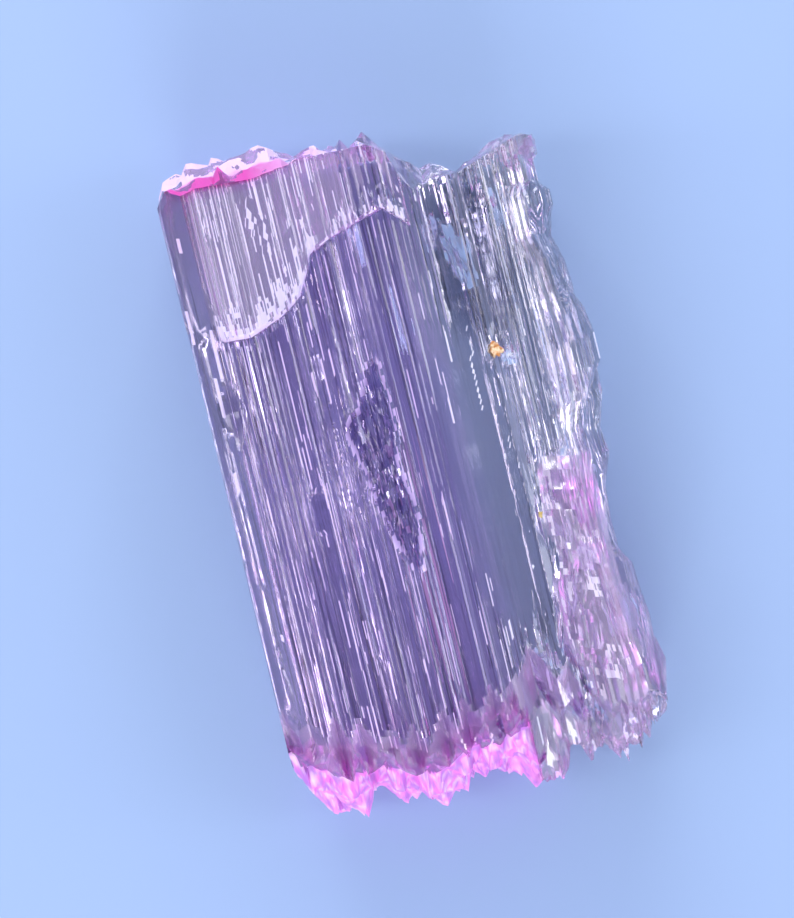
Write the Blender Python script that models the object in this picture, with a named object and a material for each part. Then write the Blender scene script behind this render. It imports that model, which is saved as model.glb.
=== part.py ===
"""A kunzite crystal lying on its broad back: one flattened prism of spodumene, striated along its length.

The long axis is +Y and the front face looks up along +Z. A raised growth layer ends in a curved step across
that face, an etched hollow opens in its middle, the lower right is broken down in ledges, and both ends are
etched into pointed, flat-faced teeth. The crystal grew as one piece, so it is one solid.
"""

import random

import bmesh
import bpy
from mathutils import Vector, noise

MM = 0.001

# Driving sizes in millimetres, over everything. The shape below is drawn close to them and fitted to them.
LENGTH = 41.4
WIDTH = 23.1
THICKNESS = 10.4

# The block is divided into columns across its width, rows along its length and layers through its thickness.
COLUMNS = 56
ROWS = 26
LAYERS = 8
# This row follows the foot of the growth step and the next one follows its brow.
STEP_ROW = 18
COLUMN_WIDTHS = (0.5, 1.6)
SEED = 29

# Relief of the front face.
RIB_HEIGHT = 0.2
STEP_RISE = 0.6
STEP_RUN = 0.35
LAYER_RIGHT_EDGE = 2.3
HOLLOW_DEPTH = 0.85
HOLLOW_WALL = 0.45
HOLLOW_FLOOR_STEP = 1.3
BROKEN_DEPTH = 0.45
BROKEN_RAMP = 1.5
LUMP_HEIGHT = 0.9

# Relief of the two ends, the right flank and the back.
TOP_TOOTH = 0.7
BOTTOM_TOOTH = 1.4
CLUMP_SIZE = 2.4
POINT_SHARE = 0.6
STRAY_POINTS = 0.2
RIM_LEVEL = 0.4
END_UNDERCUT = 0.9
CHIP_DEPTH = 0.8
FLANK_RIB = 0.12
BACK_LAND = (-2.2, 2.2)
BACK_GROOVE = 0.25

# Outlines in millimetres as seen from the front, x to the right and y upwards.
# Roughly where the two ends of the front face lie.
FACE_ENDS = (-16.5, 18.0)
# The front face's upper edge, and the rim of the upper end that stands out behind it.
TOP_EDGE = [
    (-11.6, 17.9), (-9.0, 18.6), (-6.0, 18.4), (-3.6, 18.7), (-3.2, 18.9), (0.9, 18.8), (1.9, 18.1),
    (2.6, 15.3), (4.1, 15.6), (5.5, 15.9), (8.0, 16.7), (9.5, 17.3), (11.6, 16.6),
]
TOP_RIM = [
    (-11.6, 17.9), (-11.3, 19.3), (-10.2, 20.1), (-8.6, 20.4), (-7.4, 20.4), (-6.2, 20.0), (-5.2, 20.7),
    (-4.5, 20.5), (-3.9, 19.6), (-3.3, 19.3), (-2.2, 19.5), (-0.2, 19.1), (0.9, 19.3), (2.1, 18.8),
    (2.8, 18.0), (3.7, 17.2), (4.5, 17.5), (5.6, 16.5), (7.8, 17.7), (9.0, 18.0), (10.4, 17.5), (11.6, 16.2),
]
# The foot of the growth step, which curves up across the face from the left.
STEP_LINE = [
    (-11.6, 10.4), (-9.4, 9.2), (-7.9, 9.1), (-5.9, 9.9), (-4.7, 10.7), (-3.9, 12.1), (-3.5, 13.0),
    (-2.2, 13.6), (-0.2, 14.3), (1.0, 14.6), (2.4, 13.2), (5.5, 12.8), (11.6, 13.0),
]
# The front face's lower edge, and the rim of the lower end.
BOTTOM_EDGE = [
    (-11.6, -13.4), (-10.2, -14.1), (-9.0, -14.9), (-6.1, -15.7), (-3.6, -16.5), (-2.2, -16.0),
    (-0.6, -15.6), (0.8, -15.2), (2.4, -13.8), (3.2, -12.4), (4.2, -14.2), (5.6, -15.3), (8.5, -16.6),
    (11.6, -15.4),
]
BOTTOM_RIM = [
    (-11.6, -16.2), (-10.8, -17.8), (-9.8, -18.9), (-8.7, -19.6), (-7.8, -19.3), (-6.9, -18.4),
    (-5.6, -19.3), (-4.3, -19.8), (-3.0, -20.3), (-2.2, -19.7), (-1.2, -18.8), (-0.4, -19.1),
    (0.4, -19.6), (1.1, -18.9), (2.1, -20.2), (2.9, -20.7), (3.8, -20.3), (4.6, -18.5), (5.3, -19.8),
    (6.0, -18.7), (6.7, -19.9), (7.5, -19.9), (8.5, -19.4), (10.2, -18.2), (11.6, -15.6),
]
# The crystal's left side is straight. Its right side is broken into shallow lobes, as (y, x).
LEFT_SIDE = -11.55
RIGHT_MOST = 11.6
# Between these two places the striae run straight; outside them they give way to the flanks.
STRAIGHT_FROM = -8.4
STRAIGHT_TO = 7.4
RIGHT_SIDE = [
    (-18.0, 10.4), (-16.8, 11.1), (-15.2, 11.3), (-13.7, 11.0), (-11.7, 10.7), (-7.9, 10.5), (-5.8, 10.4),
    (-3.9, 10.6), (-2.2, 10.6), (-0.5, 10.4), (0.9, 10.6), (1.6, 11.2), (2.6, 11.6), (5.2, 11.6),
    (6.9, 11.3), (9.6, 11.1), (10.6, 10.8), (11.4, 10.6), (12.6, 10.9), (16.1, 10.9),
]
# How far the flanks are drawn in, from the back (0) to the front (1).
LEFT_INSET = [(0.0, 1.5), (0.2, 0.1), (0.5, 0.0), (0.8, 0.1), (1.0, 1.6)]
RIGHT_INSET = [(0.0, 1.9), (0.2, 0.5), (0.5, 0.0), (0.8, 0.3), (1.0, 1.2)]
# The front face's fall from left to right, in shallow lengthwise steps, as (x, height).
FACE_PROFILE = [
    (-10.0, 0.0), (-1.5, 0.05), (-0.7, -0.2), (2.2, -0.15), (2.7, -0.4), (5.2, -0.45), (5.6, -0.75),
    (8.6, -1.0), (10.4, -1.7),
]
# The hollow's left and right sides, as (y, x) from its lower end to its upper end.
HOLLOW_LEFT = [
    (-6.2, -1.9), (-4.5, -2.6), (-1.9, -3.2), (0.3, -3.5), (2.1, -3.9), (3.0, -4.0), (3.5, -3.1), (6.2, -1.8),
]
HOLLOW_RIGHT = [(-6.2, -1.5), (-2.8, -1.0), (0.3, -1.4), (2.1, -1.1), (4.3, -1.1), (6.2, -1.3)]
# The left side of the broken ground at the lower right, and its ledges, as (y, drop), going down.
BROKEN_LEFT = [(-18.0, 5.5), (-14.8, 6.1), (-12.2, 5.2), (-9.4, 5.5), (-7.1, 6.1), (-5.4, 5.5), (-3.1, 5.9)]
BROKEN_TOP = -1.4
LEDGES = [(-3.4, 0.3), (-6.8, 0.25), (-8.2, 0.25)]
# Small pits, as (x, y, half width, half length, depth). Their sides run out at this many half sizes.
PIT_REACH = 1.6
PITS = [
    (-9.9, 5.2, 0.5, 1.4, 0.45), (-5.3, 11.0, 0.4, 1.5, 0.3), (5.6, 5.2, 0.5, 0.9, 0.4),
    (10.3, 11.2, 0.9, 0.9, 0.7),
]


def read_outline(points, at):
    """The height of an open outline at one place, with straight runs between its points."""
    if at <= points[0][0]:
        return points[0][1]
    for (x0, y0), (x1, y1) in zip(points, points[1:]):
        if at <= x1:
            return blend(y0, y1, (at - x0) / (x1 - x0))
    return points[-1][1]


def blend(a, b, share):
    return a + (b - a) * share


def chance(a, b, kind):
    """A fixed value from 0 to 1 for one cell of a plane. It jumps from cell to cell."""
    return 0.5 + 0.5 * noise.cell(Vector((a + 0.5, b + 0.5, kind + 0.5)))


def drift(x, y, kind, size):
    """A smooth value from about -1 to 1 that changes over the given size."""
    return noise.noise(Vector((x / size, y / size, kind * 7.7)))


def column_shares():
    """Shares of the width where one stria meets the next: uneven, as growth leaves them."""
    rng = random.Random(SEED)
    widths = [rng.uniform(*COLUMN_WIDTHS) for _ in range(COLUMNS)]
    shares = [sum(widths[:i]) / sum(widths) for i in range(COLUMNS)]
    return shares + [1.0]


def rib_heights():
    """Heights of the ribs, high and low by turns and never alike."""
    rng = random.Random(SEED + 1)
    return [RIB_HEIGHT * rng.uniform(0.2, 1.0) * (1 if i % 2 else -1) for i in range(COLUMNS + 1)]


def lattice():
    """A cube from 0 to 1 whose faces are divided into the columns, rows and layers."""
    mesh = bmesh.new()
    bmesh.ops.create_cube(mesh, size=1.0)
    bmesh.ops.translate(mesh, verts=mesh.verts, vec=(0.5, 0.5, 0.5))
    for axis, parts in enumerate((COLUMNS, ROWS, LAYERS)):
        lengthwise = [e for e in mesh.edges if abs((e.verts[1].co - e.verts[0].co)[axis]) > 0.5]
        bmesh.ops.subdivide_edges(mesh, edges=lengthwise, cuts=parts - 1, use_grid_fill=True)
    return mesh


COLUMN_SHARES = column_shares()
RIBS = rib_heights()


def across(column, left, right):
    """Where a stria lies between the two flanks."""
    x = blend(LEFT_SIDE, RIGHT_MOST, COLUMN_SHARES[column])
    if x < STRAIGHT_FROM:
        return blend(left, STRAIGHT_FROM, (x - LEFT_SIDE) / (STRAIGHT_FROM - LEFT_SIDE))
    if x > STRAIGHT_TO:
        return blend(STRAIGHT_TO, right, (x - STRAIGHT_TO) / (RIGHT_MOST - STRAIGHT_TO))
    return x


def tooth(x, column, layer, size):
    """How far an end stands out at one place: small points, high and low by turns, on larger four-sided ones."""
    point = 0.1 + 0.9 * chance(column, layer, 1)
    stray = chance(column, layer, 9) < STRAY_POINTS
    if ((column + layer) % 2 == 1) != stray:
        point *= -0.4
    spot = Vector((x, THICKNESS * layer / LAYERS, size)) / CLUMP_SIZE
    clump = 1 - noise.voronoi(spot, distance_metric="MANHATTAN")[0][0]
    on_edge = layer in (0, LAYERS) or column in (0, COLUMNS)
    return size * (POINT_SHARE * point + (1 - POINT_SHARE) * clump) * (0.45 if on_edge else 1.0)


def end_reach(edge, rim, level):
    """An end slopes out from the front face's edge to its rim, then turns back under towards the back."""
    if level > RIM_LEVEL:
        return blend(edge, rim, (1 - level) / (1 - RIM_LEVEL))
    undercut = END_UNDERCUT * (1 - level / RIM_LEVEL)
    return rim - undercut if rim > edge else rim + undercut


def in_hollow(x, y):
    """1 in the middle of the etched hollow, falling to 0 at its sides."""
    if not HOLLOW_LEFT[0][0] < y < HOLLOW_LEFT[-1][0]:
        return 0.0
    left, right = read_outline(HOLLOW_LEFT, y), read_outline(HOLLOW_RIGHT, y)
    side = min(x - left, right - x)
    return max(0.0, min(1.0, side / HOLLOW_WALL))


def relief(x, y, column, row, raised):
    """Height of the front face at one place, above or below its ground level."""
    height = read_outline(FACE_PROFILE, x)
    height += RIBS[column] * (0.75 + 0.5 * drift(x, y, 2, 12)) * (0.5 if raised else 1.0)
    if raised:
        height += STEP_RISE
    floor = 0.6 + 0.4 * chance(column, round(y / HOLLOW_FLOOR_STEP), 4)
    height -= HOLLOW_DEPTH * in_hollow(x, y) * floor
    for pit_x, pit_y, half_width, half_length, depth in PITS:
        away = abs(x - pit_x) / half_width + abs(y - pit_y) / half_length
        height -= depth * max(0.0, 1 - away / PIT_REACH)
    if y < BROKEN_TOP and x > read_outline(BROKEN_LEFT, y):
        height -= BROKEN_DEPTH * min(1.0, (BROKEN_TOP - y) / BROKEN_RAMP)
        height -= sum(drop for ledge, drop in LEDGES if y < ledge)
        height += LUMP_HEIGHT * (chance(column // 3, row // 2, 5) - 0.5)
    return height


def back(x, y, column):
    """Height of the back: flat lands at 0 that it rests on, and shallow grooves between them."""
    if BACK_LAND[0] < x < BACK_LAND[1] or column % 6 < 3:
        return 0.0
    return BACK_GROOVE * (0.4 + 0.6 * chance(column, 0, 6)) * (1 + 0.5 * drift(x, y, 7, 8))


def left_flank(level, layer):
    """The sound left flank, ribbed lengthwise like the face."""
    return LEFT_SIDE + read_outline(LEFT_INSET, level) + FLANK_RIB * (layer % 2)


def right_flank(y, level, row, layer):
    """The broken right flank, set back in flat chips a few rows long and one or two layers deep."""
    chip = CHIP_DEPTH * chance(row // 3, layer // 2, 8)
    return read_outline(RIGHT_SIDE, y) - read_outline(RIGHT_INSET, level) - chip


def place(column, row, layer):
    """Where one corner of the lattice goes, in millimetres."""
    level = layer / LAYERS
    y = blend(*FACE_ENDS, row / ROWS)
    # The sides lean on y and the ends lean on x, so both are settled by turns.
    for _ in range(3):
        x = across(column, left_flank(level, layer), right_flank(y, level, row, layer))
        top = end_reach(read_outline(TOP_EDGE, x), read_outline(TOP_RIM, x), level)
        bottom = end_reach(read_outline(BOTTOM_EDGE, x), read_outline(BOTTOM_RIM, x), level)
        step = read_outline(STEP_LINE, x)
        if row <= STEP_ROW:
            y = blend(bottom, step, row / STEP_ROW)
        else:
            y = blend(step + STEP_RUN, top, (row - STEP_ROW - 1) / (ROWS - STEP_ROW - 1))
    if row == 0:
        y -= tooth(x, column, layer, BOTTOM_TOOTH)
    if row == ROWS:
        y += tooth(x, column, layer, TOP_TOOTH)
    raised = row > STEP_ROW and x < LAYER_RIGHT_EDGE
    front = THICKNESS + relief(x, y, column, row, raised)
    return Vector((x, y, blend(back(x, y, column), front, level)))


def split_teeth(mesh, shaped):
    """Divides each face of the two ends along its lower diagonal, so that every tooth is a pointed pyramid."""
    for face in list(mesh.faces):
        if abs(face.normal.y) < 0.9:
            continue
        corners = list(face.verts)
        outwards = 1 if face.normal.y > 0 else -1
        reach = [outwards * shaped[corner].y for corner in corners]
        first = 0 if reach[0] + reach[2] < reach[1] + reach[3] else 1
        bmesh.utils.face_split(face, corners[first], corners[first + 2])


def crystal_mesh():
    """The lattice with every corner moved to its place."""
    mesh = lattice()
    mesh.normal_update()
    shaped = {}
    for vertex in mesh.verts:
        column, row, layer = (round(c * n) for c, n in zip(vertex.co, (COLUMNS, ROWS, LAYERS)))
        shaped[vertex] = place(column, row, layer)
    split_teeth(mesh, shaped)
    for vertex, corner in shaped.items():
        vertex.co = corner
    fit(mesh)
    return mesh


def fit(mesh):
    """Brings the crystal to its driving sizes and sets it on z = 0, centred on the origin."""
    spans = []
    for axis, size in enumerate((WIDTH, LENGTH, THICKNESS)):
        reached = [vertex.co[axis] for vertex in mesh.verts]
        low, high = min(reached), max(reached)
        centre = low if axis == 2 else (low + high) / 2
        spans.append((centre, size * MM / (high - low)))
    for vertex in mesh.verts:
        vertex.co = [(c - centre) * scale for c, (centre, scale) in zip(vertex.co, spans)]


def kunzite():
    """Clear lilac spodumene with a glassy lustre."""
    material = bpy.data.materials.new("kunzite")
    material.use_nodes = True
    shader = material.node_tree.nodes["Principled BSDF"]
    shader.inputs["Base Color"].default_value = (0.55, 0.40, 0.72, 1.0)
    shader.inputs["Roughness"].default_value = 0.12
    shader.inputs["Metallic"].default_value = 0.0
    return material


def main():
    for leftover in list(bpy.data.objects):
        bpy.data.objects.remove(leftover)
    mesh = crystal_mesh()
    data = bpy.data.meshes.new("kunzite_crystal")
    mesh.to_mesh(data)
    mesh.free()
    data.materials.append(kunzite())
    crystal = bpy.data.objects.new("kunzite_crystal", data)
    bpy.context.scene.collection.objects.link(crystal)


main()
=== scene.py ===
# %% [markdown]
# A kunzite crystal, laid on its back.
# Kunzite is the lilac kind of spodumene. It grows as a flattened prism that is striated along its length,
# and its ends are often etched into small pointed teeth. This one is clear enough to look through.
# The whole crystal grew as one piece, so it is one mesh here too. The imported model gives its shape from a
# step away, and this script adds the fine striae, the etched skin, the inner cracks and the glass itself.

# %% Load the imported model
import math

import bpy
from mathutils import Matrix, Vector, noise


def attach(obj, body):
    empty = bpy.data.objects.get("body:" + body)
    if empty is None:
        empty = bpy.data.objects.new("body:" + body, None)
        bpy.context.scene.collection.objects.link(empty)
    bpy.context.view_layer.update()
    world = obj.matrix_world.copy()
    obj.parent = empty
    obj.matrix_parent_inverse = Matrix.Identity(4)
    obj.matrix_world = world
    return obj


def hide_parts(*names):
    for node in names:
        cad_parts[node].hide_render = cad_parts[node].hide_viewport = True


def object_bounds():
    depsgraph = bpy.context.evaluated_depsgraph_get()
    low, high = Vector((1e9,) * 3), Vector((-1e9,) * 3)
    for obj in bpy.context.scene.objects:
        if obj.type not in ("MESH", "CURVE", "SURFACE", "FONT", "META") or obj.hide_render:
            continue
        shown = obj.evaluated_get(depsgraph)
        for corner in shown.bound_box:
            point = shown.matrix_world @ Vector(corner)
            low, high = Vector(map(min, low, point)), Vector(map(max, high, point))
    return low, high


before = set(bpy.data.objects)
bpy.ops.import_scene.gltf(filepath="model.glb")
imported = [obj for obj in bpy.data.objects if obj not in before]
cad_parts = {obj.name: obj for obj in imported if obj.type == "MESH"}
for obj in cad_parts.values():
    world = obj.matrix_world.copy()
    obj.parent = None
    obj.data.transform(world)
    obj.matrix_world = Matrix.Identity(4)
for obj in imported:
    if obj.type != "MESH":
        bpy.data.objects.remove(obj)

MM = 0.001
cad_box = [list(corner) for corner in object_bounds()]
low, high = (Vector(corner) for corner in cad_box)
print("the packed crystal, in mm:", [round(side / MM, 2) for side in high - low])

# %% [markdown]
# Colours are written as the sRGB hex values that a colour picker shows. Blender's shaders count in linear
# light, so one function turns a hex value into linear numbers.

# %% Colours
def linear(hex_colour):
    """An sRGB hex value as linear red, green, blue and an alpha of 1."""
    shares = [int(hex_colour[i:i + 2], 16) / 255 for i in (1, 3, 5)]
    return [c / 12.92 if c <= 0.04045 else ((c + 0.055) / 1.055) ** 2.4 for c in shares] + [1.0]


print("mid lilac in linear light:", [round(c, 3) for c in linear("#B49BD2")])

# %% [markdown]
# A material is a tree of nodes. This small function adds one node, sets its values and links its inputs, so
# that each step of a material is a line or two further down.

# %% One helper for all nodes
def add_node(tree, kind, settings=None, links=None):
    """Adds a node. Settings are its own values or its inputs' values, and links go from sockets to inputs."""
    node = tree.nodes.new(kind)
    for name, value in (settings or {}).items():
        if name in node.inputs:
            node.inputs[name].default_value = value
        else:
            setattr(node, name, value)
    for name, socket in (links or {}).items():
        tree.links.new(socket, node.inputs[name])
    return node


print("add_node is ready")

# %% [markdown]
# The camera looks straight down on the crystal, as the photograph does on its front face. In the photograph
# the crystal leans 13.5 degrees to the left. The camera is turned instead of the crystal, because the
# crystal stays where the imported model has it.

# %% Camera
PHOTO_HEIGHT = 918
PIXELS_PER_MM = 17.5
LEAN = math.radians(13.5)
# Metres above the crystal, and the sensor's width in mm.
CAMERA_DISTANCE = 0.22
SENSOR = 36
# How far the middle of the crystal lies from the middle of the photograph, right and down, in pixels.
CRYSTAL_OFF_CENTRE = (25.6, 5.0)

scene = bpy.context.scene
camera = bpy.data.objects.new("camera", bpy.data.cameras.new("camera"))
scene.collection.objects.link(camera)
scene.camera = camera
view_height = PHOTO_HEIGHT / PIXELS_PER_MM * MM
camera.data.sensor_width = SENSOR
camera.data.lens = SENSOR * CAMERA_DISTANCE / view_height
camera.data.clip_start = 0.01
camera.data.clip_end = 10
aside = Vector((CRYSTAL_OFF_CENTRE[0], -CRYSTAL_OFF_CENTRE[1], 0)) / PIXELS_PER_MM * MM
camera.rotation_euler = (0, 0, -LEAN)
aside.rotate(camera.rotation_euler)
camera.location = Vector((0, 0, high.z + CAMERA_DISTANCE)) - aside
print("camera at", [round(c, 4) for c in camera.location], "with a lens of", round(camera.data.lens, 1), "mm")

# %% [markdown]
# The crystal lies on a plain pale floor of a cool grey blue. It is stage and not part of the object. Matt
# paper scatters light evenly, so nothing in it draws the eye away from the stone.

# %% Floor
FLOOR_SIZE = 3.0
FLOOR_DROP = 0.05 * MM
bpy.ops.object.select_all(action="DESELECT")
bpy.ops.mesh.primitive_plane_add(size=FLOOR_SIZE, location=(0, 0, -FLOOR_DROP))
floor = bpy.context.object
floor.name = "floor"
matt_paper = bpy.data.materials.new("matt_paper")
matt_paper.use_nodes = True
paper = matt_paper.node_tree.nodes["Principled BSDF"]
paper.inputs["Base Color"].default_value = linear("#96AED4")
paper.inputs["Roughness"].default_value = 0.85
floor.data.materials.append(matt_paper)
print("floor of", FLOOR_SIZE, "m")

# %% [markdown]
# Glassy things are lit by what they mirror. Two narrow soft boxes at the sides draw bright lines along the
# striae. A third stands past the upper end and shines along the crystal into the lower teeth, which makes
# them glow, and the last stands past the lower end and lights those teeth from outside.

# %% Soft boxes
# What the lamps face, in metres.
CRYSTAL_MIDDLE = Vector((0, 0, 0.005))


def soft_box(name, place, size, watts, colour):
    """A rectangular area light that faces the crystal. Its place and size are in metres."""
    lamp = bpy.data.lights.new(name, "AREA")
    lamp.shape = "RECTANGLE"
    lamp.size, lamp.size_y = size
    lamp.energy = watts
    lamp.color = linear(colour)[:3]
    holder = bpy.data.objects.new(name, lamp)
    scene.collection.objects.link(holder)
    holder.location = place
    holder.rotation_euler = (CRYSTAL_MIDDLE - Vector(place)).to_track_quat("-Z", "Y").to_euler()


soft_box("left_box", (-0.30, 0.05, 0.25), (0.08, 0.50), 0.7, "#FFFFFF")
soft_box("right_box", (0.35, -0.05, 0.20), (0.08, 0.40), 0.5, "#F4F6FF")
soft_box("end_box", (0.02, 0.40, 0.14), (0.35, 0.08), 2.4, "#FFFFFF")
soft_box("low_box", (-0.06, -0.40, 0.16), (0.30, 0.10), 2.0, "#FFFFFF")
print("four soft boxes")

# %% [markdown]
# The room is pale all round and dark overhead, so the floor is softly lit from the sides, while what the
# crystal throws straight back up stays dark. The exposure suits the pale room, and the plain view transform
# keeps the stone's colours as strong as they are.

# %% Room
# The sine of the angle above the floor where the pale walls begin to darken, and where they are dark.
WALLS_UP_TO = 0.66
DARK_FROM = 0.90
room = bpy.data.worlds.new("room")
scene.world = room
room.use_nodes = True
sky = room.node_tree
facing = add_node(sky, "ShaderNodeTexCoord")
heights = add_node(sky, "ShaderNodeSeparateXYZ", links={"Vector": facing.outputs["Generated"]})
walls = add_node(sky, "ShaderNodeValToRGB", links={"Fac": heights.outputs["Z"]})
walls.color_ramp.elements[0].position = WALLS_UP_TO
walls.color_ramp.elements[0].color = linear("#E9EDFF")
walls.color_ramp.elements[1].position = DARK_FROM
walls.color_ramp.elements[1].color = linear("#10131C")
background = sky.nodes["Background"]
background.inputs["Strength"].default_value = 2.0
sky.links.new(walls.outputs["Color"], background.inputs["Color"])
scene.view_settings.view_transform = "Standard"
scene.view_settings.exposure = -0.58
# Light passes many faces on its way through the teeth and the striae.
scene.cycles.max_bounces = 16
scene.cycles.transmission_bounces = 16
scene.cycles.glossy_bounces = 8
print("a pale room, dark overhead")

# %% [markdown]
# The relief differs from place to place, so the script needs to know where it is. Each outline below is a
# few points in millimetres on the crystal, as seen from the front: x runs to the right, y up to the upper
# end and z out of the face.

# %% Outlines on the face
# The foot of the growth step as (x, y). The layer above it ends at its right edge.
STEP_LINE = [
    (-11.6, 10.5), (-9.4, 9.3), (-7.8, 9.2), (-5.8, 10.0), (-4.6, 10.8), (-3.8, 12.2), (-3.4, 13.1),
    (-2.1, 13.7), (0.0, 14.4), (1.2, 14.7), (2.6, 13.3), (5.8, 12.9), (11.7, 13.1),
]
LAYER_RIGHT_EDGE = 2.5
# Both sides of the etched hollow and the left side of the broken ground as (y, x), and the ground's top.
HOLLOW_LEFT = [
    (-5.9, -1.8), (-4.2, -2.5), (-1.6, -3.1), (0.5, -3.4), (2.3, -3.8), (3.2, -3.9), (3.7, -3.0), (6.4, -1.7),
]
HOLLOW_RIGHT = [(-5.9, -1.3), (-2.5, -0.8), (0.5, -1.3), (2.3, -0.9), (4.5, -0.9), (6.4, -1.1)]
BROKEN_LEFT = [(-17.6, 5.8), (-14.4, 6.4), (-11.8, 5.5), (-9.1, 5.8), (-6.8, 6.4), (-5.1, 5.8), (-2.8, 6.2)]
BROKEN_TOP = -1.1
# How soft their edges are: the distances inside the outline where each begins and is whole.
HOLLOW_EDGE = (-0.1, 0.3)
BROKEN_SIDE_EDGE = (-0.3, 0.5)
BROKEN_TOP_EDGE = (-0.4, 1.0)
# Height of the face at its left, and its fall to the right as (x, height).
GROUND = 9.73
FACE_PROFILE = [
    (-10.0, 0.0), (-1.4, 0.05), (-0.5, -0.19), (2.4, -0.14), (5.4, -0.42), (5.9, -0.70),
    (8.9, -0.94), (10.7, -1.59),
]
print("points on the outlines of the face:", len(STEP_LINE + HOLLOW_LEFT + HOLLOW_RIGHT + BROKEN_LEFT))

# %% Outlines of the ends
# The front face's upper and lower edges, and the rims of the two ends that stand out past them, as (x, y).
TOP_EDGE = [
    (-11.6, 17.9), (-9.0, 18.6), (-5.9, 18.4), (-3.5, 18.7), (-3.1, 18.9), (1.1, 18.8), (2.1, 18.1),
    (2.8, 15.4), (4.3, 15.7), (5.8, 16.0), (8.3, 16.7), (9.8, 17.3), (11.9, 16.6),
]
TOP_RIM = [
    (-11.6, 17.9), (-11.3, 19.3), (-10.2, 20.1), (-8.6, 20.4), (-7.3, 20.4), (-6.1, 20.0), (-5.1, 20.7),
    (-4.4, 20.5), (-3.8, 19.6), (-3.2, 19.3), (-2.1, 19.5), (-0.0, 19.1), (1.1, 19.3), (2.3, 18.8),
    (3.0, 18.0), (3.9, 17.2), (4.7, 17.5), (5.9, 16.5), (8.1, 17.7), (9.3, 18.0), (10.7, 17.5),
    (11.9, 16.3),
]
BOTTOM_EDGE = [
    (-11.6, -13.0), (-10.2, -13.7), (-9.0, -14.5), (-6.0, -15.3), (-3.5, -16.1), (-2.1, -15.6),
    (-0.4, -15.2), (1.0, -14.8), (2.6, -13.4), (3.4, -12.0), (4.4, -13.8), (5.9, -14.9), (8.8, -16.2),
    (11.9, -15.0),
]
BOTTOM_RIM = [
    (-11.6, -15.8), (-10.8, -17.4), (-9.8, -18.4), (-8.7, -19.1), (-7.7, -18.8), (-6.8, -17.9),
    (-5.5, -18.8), (-4.2, -19.3), (-2.9, -19.8), (-2.1, -19.2), (-1.0, -18.3), (-0.2, -18.6),
    (0.6, -19.1), (1.3, -18.4), (2.3, -19.7), (3.1, -20.2), (4.0, -19.8), (4.8, -18.0), (5.6, -19.3),
    (6.3, -18.2), (7.0, -19.4), (7.8, -19.4), (8.8, -18.9), (10.5, -17.7), (11.9, -15.2),
]
# Both ends stand out furthest at this height, and lie this much further in at the floor.
RIM_LEVEL = 4.2
END_UNDERCUT = 0.9
print("from rim to rim, in mm:", max(y for x, y in TOP_RIM) - min(y for x, y in BOTTOM_RIM))

# %% [markdown]
# One function reads an outline at a place, and another gives soft edges. With them, a few short functions
# say where the ends are and how far a place is in the hollow or on the broken ground.

# %% Where a place is
def read_outline(points, at):
    """The value of an open outline at one place, with straight runs between its points."""
    if at <= points[0][0]:
        return points[0][1]
    for (x0, y0), (x1, y1) in zip(points, points[1:]):
        if at <= x1:
            return y0 + (y1 - y0) * (at - x0) / (x1 - x0)
    return points[-1][1]


def ramp(value, start, end):
    """0 at the start, 1 at the end, and a straight run between them."""
    return max(0.0, min(1.0, (value - start) / (end - start)))


def end_places(x, z):
    """Where the plain upper and lower ends lie: out from the face's edge to the rim, then back under."""
    share = ramp(z, high.z / MM, RIM_LEVEL)
    under = END_UNDERCUT * ramp(z, RIM_LEVEL, 0)
    top, top_rim = read_outline(TOP_EDGE, x), read_outline(TOP_RIM, x)
    bottom, bottom_rim = read_outline(BOTTOM_EDGE, x), read_outline(BOTTOM_RIM, x)
    return top + (top_rim - top) * share - under, bottom + (bottom_rim - bottom) * share + under


def in_hollow(x, y):
    """1 inside the etched hollow, falling to 0 at its sides."""
    if not HOLLOW_LEFT[0][0] < y < HOLLOW_LEFT[-1][0]:
        return 0.0
    return ramp(min(x - read_outline(HOLLOW_LEFT, y), read_outline(HOLLOW_RIGHT, y) - x), *HOLLOW_EDGE)


def in_broken(x, y):
    """1 on the broken ground at the lower right, falling to 0 at its edges."""
    return ramp(x - read_outline(BROKEN_LEFT, y), *BROKEN_SIDE_EDGE) * ramp(BROKEN_TOP - y, *BROKEN_TOP_EDGE)


print("middle of the hollow:", in_hollow(-2.0, 0.0), "middle of the face:", in_hollow(2.0, 0.0))

# %% [markdown]
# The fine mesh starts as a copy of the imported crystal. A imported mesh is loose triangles, so the copy is
# merged first and its triangles are joined to quads.

# %% A merged copy
MERGE_GAP = 0.001 * MM
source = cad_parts["kunzite_crystal"]
crystal = bpy.data.objects.new("kunzite", source.data.copy())
scene.collection.objects.link(crystal)
bpy.ops.object.select_all(action="DESELECT")
crystal.select_set(True)
bpy.context.view_layer.objects.active = crystal
bpy.ops.object.mode_set(mode="EDIT")
bpy.ops.mesh.select_all(action="SELECT")
bpy.ops.mesh.remove_doubles(threshold=MERGE_GAP)
bpy.ops.mesh.tris_convert_to_quads(face_threshold=math.radians(50), shape_threshold=math.radians(60))
bpy.ops.object.mode_set(mode="OBJECT")
mesh = crystal.data
print("merged:", len(mesh.vertices), "points,", len(mesh.polygons), "faces")

# %% [markdown]
# Etching leaves both ends covered in pointed teeth with flat faces, in rows that overlap like scales. The
# packed ends have narrow teeth that suit a solid of few faces. Here each row of points across an end is
# divided into teeth of uneven width. A tooth's middle point is pulled out and its sides run straight down to
# the next, so its faces stay flat, and the rows between are the valleys.
# Nothing here is left to chance: a cell of Blender's noise always gives the same value, so the crystal is
# the same each time.

# %% One row of teeth
# The widths that a tooth may have, in points of its row.
TOOTH_WIDTHS = (3, 4, 5, 6)


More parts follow.
